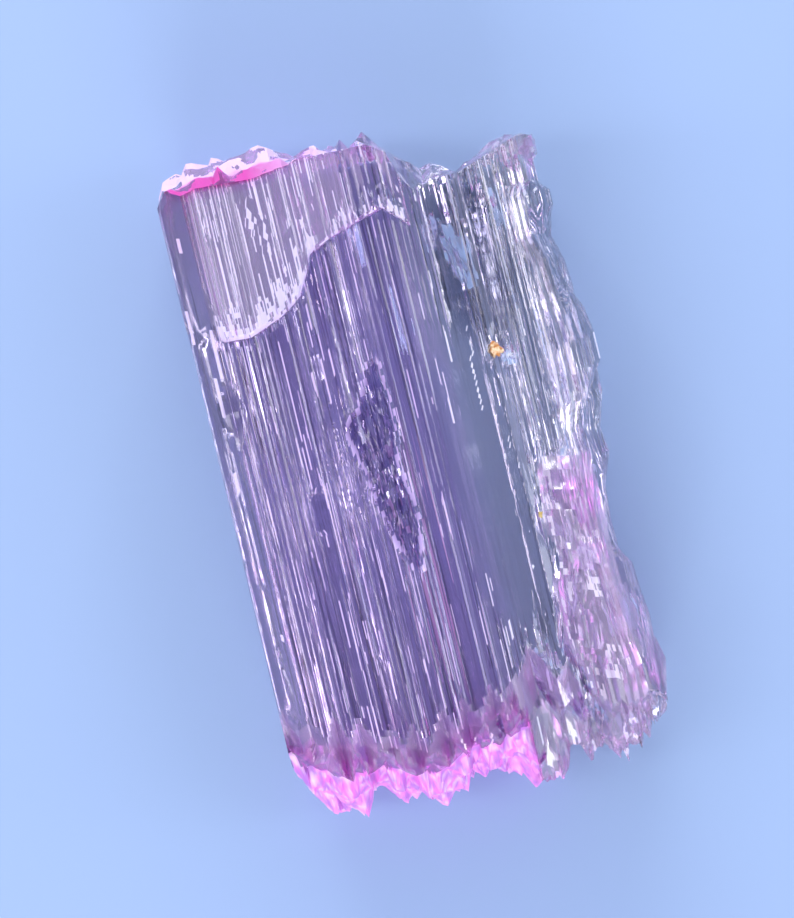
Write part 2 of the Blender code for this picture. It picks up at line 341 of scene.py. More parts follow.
def chance(*cell):
    """A fixed value from 0 to 1 for one cell of a space of up to three whole numbers."""
    spot = [c + 0.5 for c in cell] + [0.5] * (3 - len(cell))
    return 0.5 + 0.5 * noise.cell(Vector(spot))


def tooth_row(points, reach, seed):
    """How far each of a row of points stands out, as teeth of uneven width and height."""
    heights = [0.0] * points
    start = -round(3 * chance(seed, 1))
    number = 0
    while start < points:
        # Just under four, so that the pick stays within the four widths.
        width = TOOTH_WIDTHS[int(3.99 * chance(number, seed, 2))]
        height = reach * (0.35 + 0.65 * chance(number, seed, 3))
        peak = width * (0.3 + 0.4 * chance(number, seed, 4))
        for step in range(width):
            share = step / peak if step < peak else (width - step) / (width - peak)
            if 0 <= start + step < points:
                heights[start + step] = height * share
        start += width
        number += 1
    return heights


print("one row of twelve points:", [round(out, 2) for out in tooth_row(12, 1.0, 1)])

# %% Teeth on both ends
# Rows of points from the back to the front face, and how near the plain end a point belongs to it, in mm.
LAYERS = 8
ROW_LENGTH = 0.6
# The longest teeth, and how far they are set back into the plain end, in mm.
UPPER_TOOTH = 0.9
LOWER_TOOTH = 1.5
SET_BACK = 0.3
# How far the rows stand out, as shares of a tooth: the valleys, and what is left of it beside the faces.
VALLEY_SHARE = 0.12
EDGE_SHARE = 0.5
# The upper end is calm at its right, where its teeth keep this share of their length.
CALM_SHARE = 0.25
# What sets the upper end's rows apart from the lower end's, when their teeth are drawn.
UPPER_SEED = 20

on_end = crystal.vertex_groups.new(name="end")
for upper in (True, False):
    rows = {}
    for vertex in mesh.vertices:
        x, y, z = (c / MM for c in vertex.co)
        plain = end_places(x, z)[0 if upper else 1]
        if (y > plain - ROW_LENGTH) if upper else (y < plain + ROW_LENGTH):
            layer = round(LAYERS * z / (GROUND + read_outline(FACE_PROFILE, x)))
            rows.setdefault(min(layer, LAYERS), []).append(vertex)
    for layer, row in rows.items():
        row.sort(key=lambda vertex: vertex.co.x)
        reach = (UPPER_TOOTH if upper else LOWER_TOOTH) * (1.0 if layer % 2 else VALLEY_SHARE)
        if layer in (0, LAYERS):
            reach *= EDGE_SHARE
        heights = tooth_row(len(row), reach, layer + (UPPER_SEED if upper else 0))
        for vertex, out in zip(row, heights):
            x = vertex.co.x / MM
            top, bottom = end_places(x, vertex.co.z / MM)
            calm = CALM_SHARE + (1 - CALM_SHARE) * ramp(x, 6.0, 3.0)
            place = top + out * calm - SET_BACK if upper else bottom - out + SET_BACK
            vertex.co.y = max(low.y, min(high.y, place * MM))
            on_end.add([vertex.index], 1.0, "REPLACE")
    print("upper" if upper else "lower", "end:", {layer: len(row) for layer, row in sorted(rows.items())})

# %% [markdown]
# Two rounds of simple subdivision divide each quad in sixteen without changing the shape. Then the edges that
# run across the front face are halved once more, so its points lie a twentieth of a millimetre apart across
# the crystal, which is what its finest visible striae need.

# %% Subdivision
# The front face's points all lie above this height in mm, and its faces look up at least this much.
FACE_LOWEST = 7.5
FRONT_FACING = 0.7
finer = crystal.modifiers.new("finer", "SUBSURF")
finer.subdivision_type = "SIMPLE"
finer.levels = 2
finer.render_levels = 2
bpy.ops.object.modifier_apply(modifier="finer")
fronts = set()
for face in mesh.polygons:
    if face.normal.z > FRONT_FACING:
        fronts.update(tuple(sorted(key)) for key in face.edge_keys)
bpy.ops.object.mode_set(mode="EDIT")
bpy.ops.mesh.select_mode(type="EDGE")
bpy.ops.mesh.select_all(action="DESELECT")
bpy.ops.object.mode_set(mode="OBJECT")
for edge in mesh.edges:
    start, end = (mesh.vertices[v].co for v in edge.vertices)
    if tuple(sorted(edge.vertices)) in fronts and abs(start.x - end.x) > abs(start.y - end.y):
        edge.select = min(start.z, end.z) > FACE_LOWEST * MM
bpy.ops.object.mode_set(mode="EDIT")
bpy.ops.mesh.subdivide(number_cuts=1)
bpy.ops.object.mode_set(mode="OBJECT")
print("fine mesh:", len(mesh.polygons), "faces,", len(mesh.vertices), "points")

# %% [markdown]
# Striae are where one thin growth layer ends on the next. Each is a flat-walled groove that runs along the
# crystal, with flat lands between. A displacement texture gives round waves, which bend light softly. Flat
# walls bend it all one way, and that is what draws the sharp bright and dark lines, so the grooves are
# worked out here by a formula and each point of the mesh is moved by it.

# %% Grooves
# Each kind of groove: spacing in mm, share of flat land, length of a run in mm, and seed.
FINE_STRIAE = (0.30, 0.40, 18, 3)
DEEP_STRIAE = (0.95, 0.62, 26, 5)
BACK_GROOVES = (0.60, 0.50, 22, 7)
FLANK_RIBS = (1.25, 0.42, 20, 9)
# Their depth, as a share of grooves with walls of 45 degrees.
FINE_DEPTH = 0.45
DEEP_DEPTH = 0.60
RIB_DEPTH = 0.3


def drift(x, y, size, seed):
    """A smooth value from about -1 to 1 that changes over the given size. The size may differ along y."""
    wide, long = size
    return noise.noise(Vector((x / wide, y / long, seed * 3.7)))


def groove(across, along, spacing, land, run, seed):
    """Depth of V grooves with walls of 45 degrees. A larger land leaves fewer and narrower grooves."""
    place = across / spacing + 0.5 * drift(across, along, (3.0, 40.0), seed)
    line = math.floor(place)
    piece = math.floor(along / run + 3 * chance(line, seed))
    depth = 0.5 - abs(place - line - 0.5)
    return spacing * max(0.0, depth - land * (0.5 + 0.5 * chance(line, piece, seed)))


def share_of(test):
    """The share of a strip of 20 mm where a test holds."""
    return sum(1 for step in range(400) if test(step / 20)) / 400


print("share of the back in grooves:", share_of(lambda x: groove(x, 0, *BACK_GROOVES) > 0))

# %% [markdown]
# The grooves aren't alike all over. The left of the face is ribbed closely, the part right of the middle is
# a smooth window, and the upper right is grooved deeply on its back, so that it throws light back and looks
# dark. Each area below is an ellipse with soft edges, in millimetres on the face.

# %% Areas
# Middle and half size of the two parts of the window, and of the dark areas at the upper right and left.
WINDOWS = [((3.2, 0.5), (2.6, 8.5)), ((3.4, -7.0), (2.4, 4.0))]
DARK_RIGHT = ((5.4, 11.0), (2.6, 6.0))
DARK_LEFT = ((-6.0, -0.5), (3.0, 5.0))
# How dark the left one is beside the right one, and how much of an area is its soft edge.
DARK_LEFT_SHARE = 0.8
SOFT_EDGE = 0.35


def area(x, y, middle, half):
    """1 in the middle of an ellipse, falling to 0 at its rim."""
    away = math.hypot((x - middle[0]) / half[0], (y - middle[1]) / half[1])
    return ramp(away, 1.0, 1.0 - SOFT_EDGE)


def in_window(x, y):
    """The smooth clear part right of the middle."""
    return max(area(x, y, *window) for window in WINDOWS)


def in_dark(x, y):
    """Where the back is deeply grooved: the upper right and a patch in the middle of the left."""
    return max(area(x, y, *DARK_RIGHT), DARK_LEFT_SHARE * area(x, y, *DARK_LEFT))


def above_step(x, y):
    """How far a place lies above the foot of the growth step, or None right of the layer."""
    return y - read_outline(STEP_LINE, x) if x < LAYER_RIGHT_EDGE else None


print("window and dark at the middle:", in_window(3.6, 0), in_dark(3.6, 0))

# %% [markdown]
# Where the stone broke or was etched, it is made of many small flat pieces, because spodumene splits along
# its length. Blender's Voronoi noise divides a plane into such pieces. Each gets a level and a tilt of its
# own, and the same function serves for long splinters, chips and flakes.

# %% Splinters
# Width and length in mm, and seed, of what each kind of ground is made of.
BROKEN_SPLINTERS = ((1.7, 3.4), 5)
BROKEN_CHIPS = ((0.5, 1.3), 12)
HOLLOW_FLAKES = ((0.35, 0.7), 11)
STEP_FLAKES = ((0.28, 0.8), 13)
CRUST_CRUMBS = ((0.6, 0.7), 14)
FAN_BLADES = ((0.55, 1.8), 15)
# Neighbouring pieces are told apart by where their middles are, in ninths of their size.
PARTS = 9


def piece_middle(x, y, size, seed):
    """The middle of the piece that a place lies on, as shares of the pieces' size."""
    wide, long = size
    return noise.voronoi(Vector((x / wide, y / long, seed)), distance_metric="DISTANCE")[1][0]


def piece_chance(middle, seed):
    """A fixed value from 0 to 1 for one piece."""
    return chance(middle.x * PARTS, middle.y * PARTS, seed)


def splinter(x, y, size, seed):
    """Height from about -0.5 to 0.5 of long flat splinters, each tilted its own way."""
    wide, long = size
    middle = piece_middle(x, y, size, seed)
    level, tilt, pitch = (piece_chance(middle, seed + k) - 0.5 for k in range(3))
    return 0.6 * level + 1.2 * tilt * (x / wide - middle.x) + 0.6 * pitch * (y / long - middle.y)


across_broken = [round(splinter(6 + k, -8, *BROKEN_SPLINTERS), 2) for k in range(4)]
print("splinters across the broken ground:", across_broken)

# %% [markdown]
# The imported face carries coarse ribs, which stand for the striae on a solid of few faces. The fine face is
# laid out anew from the same levels: a fall to the right in shallow lengthwise steps, the bevel at the left,
# the raised growth layer, the hollow, and the broken ground with its ledges.

# %% Levels of the face
# Where the bevel begins at the left, and its fall per mm.
BEVEL_FROM = -9.95
BEVEL_SLOPE = 1.29
# The growth step's height, and how far its slope runs on the face and further on the bevel, in mm.
STEP_RISE = 0.56
STEP_RUN = 0.35
STEP_RUN_ON_BEVEL = 3.0
# The hollow's depth, and the length of the parts of its floor, which lie at different depths.
HOLLOW_DEPTH = 0.8
HOLLOW_PART = 1.3
# The ledges of the broken ground as (y, drop), and how far its splinters stand out, all in mm.
LEDGES = [(-1.5, 0.42), (-3.1, 0.28), (-6.5, 0.23), (-7.9, 0.23)]
SPLINTER_RELIEF = 0.7


def plain_face(x, y):
    """Height of the front face without its striae."""
    height = GROUND + read_outline(FACE_PROFILE, x)
    over = above_step(x, y)
    if over is not None:
        run = STEP_RUN + STEP_RUN_ON_BEVEL * ramp(x, BEVEL_FROM + 1.0, BEVEL_FROM)
        height += STEP_RISE * ramp(over, 0, run)
    height -= BEVEL_SLOPE * max(0.0, BEVEL_FROM - x)
    hollow = in_hollow(x, y)
    if hollow > 0:
        floor_share = 0.6 + 0.4 * chance(0, math.floor(y / HOLLOW_PART), 4)
        height -= HOLLOW_DEPTH * hollow * floor_share
    broken = in_broken(x, y)
    if broken > 0:
        height -= broken * sum(drop for ledge, drop in LEDGES if y < ledge)
        height += broken * SPLINTER_RELIEF * splinter(x, y, *BROKEN_SPLINTERS)
    return height


print("face height at the middle and in the hollow:", plain_face(2, 0), plain_face(-2.2, 0))

# %% [markdown]
# Three pits are etched into the face and its bevel, and flat facets cut the face down to its lower end,
# where two of them meet in each point. Both are worked out here and cut with the relief further down.

# %% Pits and facets
# Each pit's x, y, half width, half length and depth in mm.
PITS = [(-9.9, 5.4, 0.5, 1.4, 0.42), (-5.2, 11.1, 0.4, 1.5, 0.28), (5.8, 5.4, 0.5, 0.9, 0.37)]
# How far a pit's sloping walls reach, as a share of its half size.
PIT_REACH = 1.6
# The width in mm of a pair of facets, and their fall per mm.
FACET_WIDTH = 1.5
FACET_SLOPE = 0.75
# How far they reach up the face in mm: between the pairs, and what the middle of a pair adds at least and
# by chance.
FACET_REACH = (0.3, 0.5, 1.7)
# Towards the right they are gone at the first x and whole at the second.
FACETS_FADE = (6.0, 4.5)


def pit_depth(x, y):
    """Depth of the few etched pits at one place."""
    deepest = 0.0
    for pit_x, pit_y, half_width, half_length, depth in PITS:
        away = abs(x - pit_x) / half_width + abs(y - pit_y) / half_length
        deepest = max(deepest, depth * (1 - away / PIT_REACH))
    return deepest


def end_facet(x, y):
    """How far flat facets cut the face down towards its lower end."""
    place = x / FACET_WIDTH + 0.5 * drift(x, 0, (2.5, 1), 91)
    tooth = math.floor(place)
    across = 2 * abs(place - tooth - 0.5)
    least, shortest, spread = FACET_REACH
    reach = least + (shortest + spread * chance(tooth, 0, 92)) * (1 - across)
    below = read_outline(BOTTOM_EDGE, x) + reach - y
    return FACET_SLOPE * max(0.0, below) * ramp(x, *FACETS_FADE)


print("depth of the pit at the right:", pit_depth(5.8, 5.4), "and of a facet:", round(end_facet(0, -15), 2))

# %% [markdown]
# The relief is what lies below the plain face: the striae on sound ground, flakes in the hollow, chips on
# the broken ground, and a jagged edge along the growth step. The window is almost free of striae. The back
# and the flanks have only their grooves, and those on the back are deepest behind the dark areas.

# %% Relief
# The share of the grooves that is missing in the window, in the dark area and on the bevel.
FINE_LESS_IN_WINDOW = 0.85
FINE_LESS_IN_DARK = 0.7
DEEP_LESS_IN_WINDOW = 0.8
BACK_LESS_IN_WINDOW = 0.9
LESS_ON_BEVEL = 0.8
# How much flat land the back has less behind the dark areas.
DARK_LAND_CUT = 0.40
# How far the flakes in the hollow, the chips on the broken ground, the step's jagged edge and a soft wave
# along the striae stand out, in mm.
FLAKE_RELIEF = 0.42
CHIP_RELIEF = 0.16
STEP_EDGE_RELIEF = 0.30
WAVE_RELIEF = 0.02
# Above the step's foot, its jagged edge is gone at the first distance and whole at the second.
STEP_EDGE_FADE = (1.7, 0.5)


def face_relief(x, y):
    """How far the front face lies below its plain height."""
    hollow, broken = in_hollow(x, y), in_broken(x, y)
    sound = 1 - max(hollow, broken)
    glassy = max(FINE_LESS_IN_WINDOW * in_window(x, y), FINE_LESS_IN_DARK * area(x, y, *DARK_RIGHT))
    fine = FINE_DEPTH * groove(x, y, *FINE_STRIAE) * (1 - glassy)
    deep = DEEP_DEPTH * groove(x, y, *DEEP_STRIAE) * (1 - DEEP_LESS_IN_WINDOW * in_window(x, y))
    wave = WAVE_RELIEF * drift(x, y, (0.6, 16), 8)
    facet = end_facet(x, y)
    bevel = ramp(x, BEVEL_FROM + 0.5, BEVEL_FROM)
    sound *= (1 - LESS_ON_BEVEL * bevel) * ramp(facet, 0.12, 0.0)
    relief = sound * (fine + deep) + wave + pit_depth(x, y) + facet
    if hollow > 0:
        relief += hollow * FLAKE_RELIEF * (splinter(x, y, *HOLLOW_FLAKES) + 0.3)
    if broken > 0:
        relief += broken * CHIP_RELIEF * (splinter(x, y, *BROKEN_CHIPS) + 0.3)
    over = above_step(x, y)
    if over is not None and over > 0:
        edge = splinter(x, y, *STEP_FLAKES) + 0.5
        relief += STEP_EDGE_RELIEF * edge * ramp(over, *STEP_EDGE_FADE)
    return relief


def back_relief(x, y):
    """How far the back is hollowed out by its grooves."""
    spacing, land, run, seed = BACK_GROOVES
    cut = groove(x, y, spacing, land - DARK_LAND_CUT * in_dark(x, y), run, seed)
    return cut * (1 - BACK_LESS_IN_WINDOW * in_window(x, y))


def side_relief(y, z):
    """How far a flank is hollowed out by its grooves."""
    return RIB_DEPTH * groove(z, y, *FLANK_RIBS)


print("relief at the middle, in mm:", round(face_relief(0, 0), 3), round(back_relief(0, 0), 3))

# %% [markdown]
# Now every point is moved, by which way it faces: those of the front face to their new height, those of the
# back up and those of the flanks in. The teeth keep their shape, but at the lower end the crust is broken
# into crumbs and the right into blades like a fan. All places are read before any is written, because a
# moved point would change the normals of its neighbours.

# %% Move the points
# A point is on an end when the end group holds it by more than this.
ON_END = 0.99
# How squarely a point of the back or of a flank faces out, and one of the front face.
FACING = 0.6
FACE_FACING = 0.3
# How far the crumbs of the crust stand out, and how far the fan's blades are lowered, in mm.
CRUMB_RELIEF = 0.45
FAN_DROP = 0.9


def share_on_end(vertex):
    """How fully the end group holds a point. It is 0 for a point that is in no group."""
    return vertex.groups[0].weight if vertex.groups else 0.0


def lower_end_place(x, y, z):
    """The new y and z of a point of the lower end."""
    crumb = CRUMB_RELIEF * splinter(x, z, *CRUST_CRUMBS) * ramp(z, 7.8, 6.8)
    edge = read_outline(BOTTOM_EDGE, x)
    fan = FAN_DROP * ramp(x, 1.5, 2.5) * (splinter(x, y, *FAN_BLADES) + 0.5)
    lowered = min(z, plain_face(x, edge) - end_facet(x, edge)) - fan * ramp(z, 0.0, 2.0)
    return y + crumb, lowered


count = len(mesh.vertices)
places = [0.0] * (3 * count)
normals = [0.0] * (3 * count)
mesh.vertices.foreach_get("co", places)
mesh.vertex_normals.foreach_get("vector", normals)
end_shares = [share_on_end(vertex) for vertex in mesh.vertices]
for i in range(count):
    x, y, z = (places[3 * i + axis] / MM for axis in range(3))
    nx, ny, nz = normals[3 * i:3 * i + 3]
    if end_shares[i] > ON_END:
        if y < 0:
            new_y, new_z = lower_end_place(x, y, z)
            places[3 * i + 1] = max(low.y, new_y * MM)
            places[3 * i + 2] = max(0.0, new_z) * MM
    elif nz > FACE_FACING and z > FACE_LOWEST:
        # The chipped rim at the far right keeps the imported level.
        level = z + (plain_face(x, y) - z) * ramp(x, 9.0, 8.2)
        places[3 * i + 2] = min(high.z, (level - face_relief(x, y)) * MM)
    elif nz < -FACING:
        places[3 * i + 2] += back_relief(x, y) * MM
    elif abs(nx) > FACING:
        places[3 * i] -= math.copysign(side_relief(y, z), nx) * MM
mesh.vertices.foreach_set("co", places)
mesh.update()
print("points moved:", count)

# %% [markdown]
# The stone has a few inner cracks. A crack is a thin gap of air, so each is a flat lens whose faces point
# into the gap. Light that meets it at a flat angle is thrown back whole, which is why cracks flash white. An
# ico sphere is flattened, given a ragged rim and a wavy sheet, tilted, and joined to the crystal's own mesh.

# %% Inner cracks
# Half of a crack's gap, in mm.
HALF_GAP = 0.03
# Middle, half width and half length in mm, tilt about the length and turn about the height in degrees.
CRACKS = [
    ((4.6, 11.3, 7.4), (1.0, 1.9), 52, 8), ((3.6, 13.0, 7.0), (0.6, 1.2), -54, -6),
    ((7.3, 13.6, 6.0), (0.6, 1.3), 52, 4), ((9.0, 3.0, 5.4), (0.8, 1.7), -46, 10),
    ((7.4, -2.4, 5.8), (1.1, 1.5), 47, -12), ((8.6, -4.8, 4.6), (0.9, 1.2), -52, 6),
    ((6.6, -5.6, 4.0), (0.6, 1.2), 50, 14), ((7.2, -12.2, 4.6), (0.9, 1.6), -47, -10),
    ((4.4, -12.4, 5.4), (0.7, 1.2), 50, 22), ((-1.0, 13.4, 6.6), (0.5, 1.6), -48, 2),
    ((0.6, 8.2, 6.8), (0.35, 2.2), 52, -3), ((-8.8, 9.8, 6.2), (0.6, 0.9), 46, 20),
    ((6.4, 5.0, 6.6), (0.9, 0.5), 44, 40), ((1.2, -14.6, 5.2), (0.8, 0.9), -50, 16),
    ((8.4, -1.0, 6.2), (0.7, 1.3), 45, -20), ((8.0, -7.6, 5.6), (0.8, 1.4), -45, 12),
    ((8.8, -11.0, 5.2), (0.7, 1.5), 50, -8), ((6.6, -9.4, 5.8), (0.6, 1.3), -48, -16),
    ((5.4, -14.8, 5.0), (0.6, 1.2), 46, 10), ((9.6, 6.2, 5.6), (0.6, 1.4), -50, 4),
]
FIRST_CRACK_SEED = 30


def crack(middle, half, tilt, turn, seed):
    """One crack: a thin wavy lens of air with a ragged rim."""
    bpy.ops.object.select_all(action="DESELECT")
    bpy.ops.mesh.primitive_ico_sphere_add(subdivisions=4, radius=1.0, location=(0, 0, 0))
    lens = bpy.context.object
    for vertex in lens.data.vertices:
        u, v, w = vertex.co
        ragged = 1 + 0.45 * drift(u, v, (0.35, 0.8), seed)
        wave = 0.10 * drift(u, v, (0.3, 1.2), seed + 1)
        x = half[0] * ragged * u
        y = half[1] * ragged * v
        vertex.co = Vector((x, y, HALF_GAP * w + wave * half[0])) * MM
    bpy.ops.object.mode_set(mode="EDIT")
    bpy.ops.mesh.select_all(action="SELECT")
    bpy.ops.transform.rotate(value=math.radians(-tilt), orient_axis="Y", center_override=(0, 0, 0))
    bpy.ops.transform.rotate(value=math.radians(-turn), orient_axis="Z", center_override=(0, 0, 0))
    bpy.ops.transform.translate(value=Vector(middle) * MM)
    bpy.ops.mesh.normals_make_consistent(inside=True)
    bpy.ops.object.mode_set(mode="OBJECT")
    return lens


# The lenses' points come after the stone's own once they are joined.
stone_points = len(mesh.vertices)
lenses = [crack(*numbers, seed=FIRST_CRACK_SEED + i) for i, numbers in enumerate(CRACKS)]
bpy.ops.object.select_all(action="DESELECT")
for lens in lenses:
    lens.select_set(True)
crystal.select_set(True)
bpy.context.view_layer.objects.active = crystal
bpy.ops.object.join()
print("cracks:", len(CRACKS), "and faces in all:", len(mesh.polygons))

# %% [markdown]
# Kunzite's colour isn't even. Here the left is lilac, the upper left end is a strong magenta, the lower end
# is a bright pink, and the right is nearly clear. The tint is painted on the points of the mesh, and it holds
# painted light and shade too: a lighter bevel, darker places at the upper right, in the hollow and round a
# pit, lit and shaded sides of the lower facets, and darker pits in the crust. Its alpha says how strongly the
# painted shade of the thin striae is drawn over it.

# %% Colours of the stone
def mixable(hex_colour):
    """A colour as a vector, which lerp can mix with another."""
    return Vector(linear(hex_colour)[:3])


# The sound stone at the left; on the bevel, lighter as painted light; at the right; and darker as painted
# shade in the dark area of the upper right.
LILAC = mixable("#EDD8FF")
LIT_BEVEL = mixable("#F8EAFF")
CLEAR = mixable("#F6FAFF")
SHADED_CLEAR = mixable("#B2BACE")
# The stain of the upper left end, and the pink of the lower end.
MAGENTA = mixable("#E23AA6")
PINK = mixable("#FF86EA")
# The broken ground, the darker violet of painted shade in the hollow and round the bevel's pit, the etched
# ends, and the white of the growth step and the cracks.
BROKEN_PALE = mixable("#FAF2FF")
HOLLOW_SHADE_VIOLET = mixable("#9C86C2")
ETCHED_PINK = mixable("#F9D8F6")
WHITE_FROST = mixable("#F1ECFF")
# The lower end's crust: its pale crumbs, and the darker pits between them, which are painted shade.
PALE_CRUMB = mixable("#FFD6FA")
CRUST_PIT_SHADE = mixable("#C47ADC")
# The facets at the lower end, in painted light and shade: a shaded violet on one side of each point and a lit
# pink on the other.
SHADED_FACET_VIOLET = mixable("#C6A6DE")
LIT_FACET_PINK = mixable("#FBE0FF")
# The painted shade round the pit on the bevel, as its middle and half size in mm.
BEVEL_PIT_SHADE = ((-9.9, 5.4), (0.6, 1.6))
# Where one tint turns into the next, from x to x: the bevel's painted lighter tint into lilac, lilac into
# clear, and the upper end's into magenta, which begins at these heights on the end.
BEVEL_TO_LILAC = (-10.2, -8.8)
LILAC_TO_CLEAR = (0.8, 3.2)
END_TO_MAGENTA = (-1.0, -6.0)
MAGENTA_HEIGHTS = (7.6, 8.6)
# The share of the striae's painted shade that is missing in the window.
LINE_SHADE_LESS_IN_WINDOW = 0.85
print("lilac as a vector:", [round(c, 3) for c in LILAC])

# %% Tint
def stone_tint(x, y):
    """The stone's tint: lilac on the left, clear on the right, and what differs on the face. The bevel is
    painted lighter, as painted light, and painted shade darkens the upper right, the hollow and the bevel's
    pit.
    """
    # The bevel starts lighter than the lilac, as painted light.
    tint = LIT_BEVEL.lerp(LILAC, ramp(x, *BEVEL_TO_LILAC))
    tint = tint.lerp(CLEAR, ramp(x, *LILAC_TO_CLEAR))
    # Painted shade: the clear stone is darker at the upper right.
    tint = tint.lerp(SHADED_CLEAR, 0.9 * area(x, y, *DARK_RIGHT))
    tint = tint.lerp(BROKEN_PALE, in_broken(x, y))
    # Painted shade darkens the hollow and the pit on the bevel.
    return tint.lerp(HOLLOW_SHADE_VIOLET, max(0.9 * in_hollow(x, y), area(x, y, *BEVEL_PIT_SHADE)))


def stained(tint, x, y, z, end_share):
    """A tint with the magenta of the upper left end, which fades down the face and the bevel."""
    left = ramp(x, *END_TO_MAGENTA)
    if end_share > ON_END and y > 0:
        tint = tint.lerp(ETCHED_PINK, 0.9 * left)
        ragged = z + 1.2 * drift(x, z, (0.9, 1.0), 41)
        return tint.lerp(MAGENTA, left * ramp(ragged, *MAGENTA_HEIGHTS))
    edge = read_outline(TOP_EDGE, x)
    stain = 0.6 * left * ramp(y, edge - 0.9, edge) * ramp(x, -3.0, -7.5)
    tint = tint.lerp(MAGENTA, stain * ramp(z, 6.0, 8.0))
    return tint.lerp(MAGENTA, 0.22 * ramp(y, 8.0, 17.0) * ramp(x, -8.6, -10.0) * ramp(z, 4.0, 8.0))


def crusted(tint, x, y, z):
    """A tint with the lower end's pink crust, its pale crumbs and the darker pits between them, painted as
    shade.
    """
    edge = read_outline(BOTTOM_EDGE, x)
    # Painted shade: random darker patches stand for the pits between the crumbs.
    pit_shade = 0.8 * ramp(drift(x, z, (0.35, 0.4), 42), 0.12, 0.28)
    pale = max(ramp(drift(x, z, (0.5, 0.3), 43), 0.05, 0.3), 0.55 * ramp(z, 6.0, 1.0))
    crust = PINK.lerp(PALE_CRUMB, pale)
    tint = tint.lerp(ETCHED_PINK, 0.8 * ramp(x, 9.0, 5.0))
    return tint.lerp(crust.lerp(CRUST_PIT_SHADE, pit_shade), ramp(y, edge + 0.2, edge - 1.0) * ramp(x, 4.5, 2.5))


def tint_at(x, y, z, end_share):
    """The tint of one place."""
    tint = stained(stone_tint(x, y), x, y, z, end_share)
    over = above_step(x, y)
    if over is not None and end_share < 0.5:
        tint = tint.lerp(WHITE_FROST, 0.8 * ramp(over, 0.0, 0.4) * ramp(x, -9.9, -9.2))
    if end_share > ON_END and y < 0:
        return crusted(tint, x, y, z)
    if z > FACE_LOWEST:
        # Painted light and shade: each facet's left side is painted lit pink and its right side shaded
        # violet.
        lit_side = end_facet(x + 0.05, y) > end_facet(x - 0.05, y)
        facet = LIT_FACET_PINK if lit_side else SHADED_FACET_VIOLET
        tint = tint.lerp(facet, 0.8 * ramp(end_facet(x, y), 0.0, 0.1))
    if y > 0:
        return tint
    edge = read_outline(BOTTOM_EDGE, x)
    return tint.lerp(PINK, 0.3 * ramp(y, edge + 2.0, edge - 3.0) * ramp(x, 3.0, -1.0))


tints = []
for vertex in mesh.vertices:
    x, y, z = (c / MM for c in vertex.co)
    if vertex.index >= stone_points:
        tints.extend([*WHITE_FROST, 0.0])
    else:
        # The alpha says how much painted shade of the thin striae a point gets.
        line_shade_share = 1 - LINE_SHADE_LESS_IN_WINDOW * in_window(x, y)
        tints.extend([*tint_at(x, y, z, share_on_end(vertex)), line_shade_share])
mesh.attributes.new("tint", "FLOAT_COLOR", "POINT").data.foreach_set("color", tints)
print("tinted points:", len(mesh.vertices))

# %% [markdown]
# The skin isn't equally glassy either. The layer above the growth step is hazy, the rest of the left has a
# slight bloom, the broken ground is dull in patches, and the window is as bright as polished glass. The
# roughness is stored on the points, as the tint is.

# %% Haze
# Roughness: of the polished skin, and what the bloom, the raised layer and the dull patches add to it.
POLISHED = 0.02
BLOOM = 0.03
LAYER_HAZE = 0.07
DULL_PATCH = 0.22


def haze_at(x, y):
    """Roughness of the skin at one place."""
    left = ramp(x, 2.0, -1.0)
    over = above_step(x, y)
    upper = ramp(over, 0.0, 1.0) if over is not None else 0.0
    patchy = 1 + 0.6 * drift(x, y, (1.0, 5.0), 51)
    dull = DULL_PATCH * in_broken(x, y) * ramp(drift(x, y, (1.1, 2.0), 52), 0.0, 0.25)
    return POLISHED + patchy * (BLOOM * left + LAYER_HAZE * left * upper) + dull


hazes = [haze_at(vertex.co.x / MM, vertex.co.y / MM) for vertex in mesh.vertices]
mesh.attributes.new("haze", "FLOAT", "POINT").data.foreach_set("value", hazes)
print("roughness from", round(min(hazes), 3), "to", round(max(hazes), 3))

# %% [markdown]
# Kunzite is glassy. Its refractive index is about 1.67, so light that meets a wall inside at a flat angle is
# thrown back, and its lilac comes from how the stone soaks up green light on the way through. Fine dark
# lines run along it where the walls of its thinnest striae turn the light away. They are finer than the mesh,
# so they are painted into its colour as painted shade, 0.16 mm apart and 24 mm long.

# %% Kunzite
KUNZITE_IOR = 1.666
# The colour that the stone lets through, and how strongly it soaks up the rest.
LET_THROUGH = "#E880E6"
SOAKING = 5.5
# The thinnest striae: their size across, along and into the stone in mm, and how deep their bump is.
THIN_STRIAE = (0.16, 24, 0.6)
THIN_STRIA_DEPTH = 0.02 * MM
# The share of light that a painted dark line of shade takes away, and the noise values between which it fades
# out.
LINE_SHADE_STRENGTH = 0.55
LINE_VALUES = (0.36, 0.42)


def mm_scale(wide, long, deep):
    """A Mapping scale that makes a pattern of one unit repeat at these sizes in millimetres."""
    return (1 / (wide * MM), 1 / (long * MM), 1 / (deep * MM))


def stone_material(name, clear, roughness):
    """A kunzite surface, more or less clear, that soaks up light inside."""
    material = bpy.data.materials.new(name)
    material.use_nodes = True
    tree = material.node_tree
    stone = tree.nodes["Principled BSDF"]
    stone.inputs["IOR"].default_value = KUNZITE_IOR
    stone.inputs["Transmission Weight"].default_value = clear
    stone.inputs["Roughness"].default_value = roughness
    soaked = add_node(tree, "ShaderNodeVolumeAbsorption", {"Color": linear(LET_THROUGH), "Density": SOAKING})
    tree.links.new(soaked.outputs["Volume"], tree.nodes["Material Output"].inputs["Volume"])
    return material


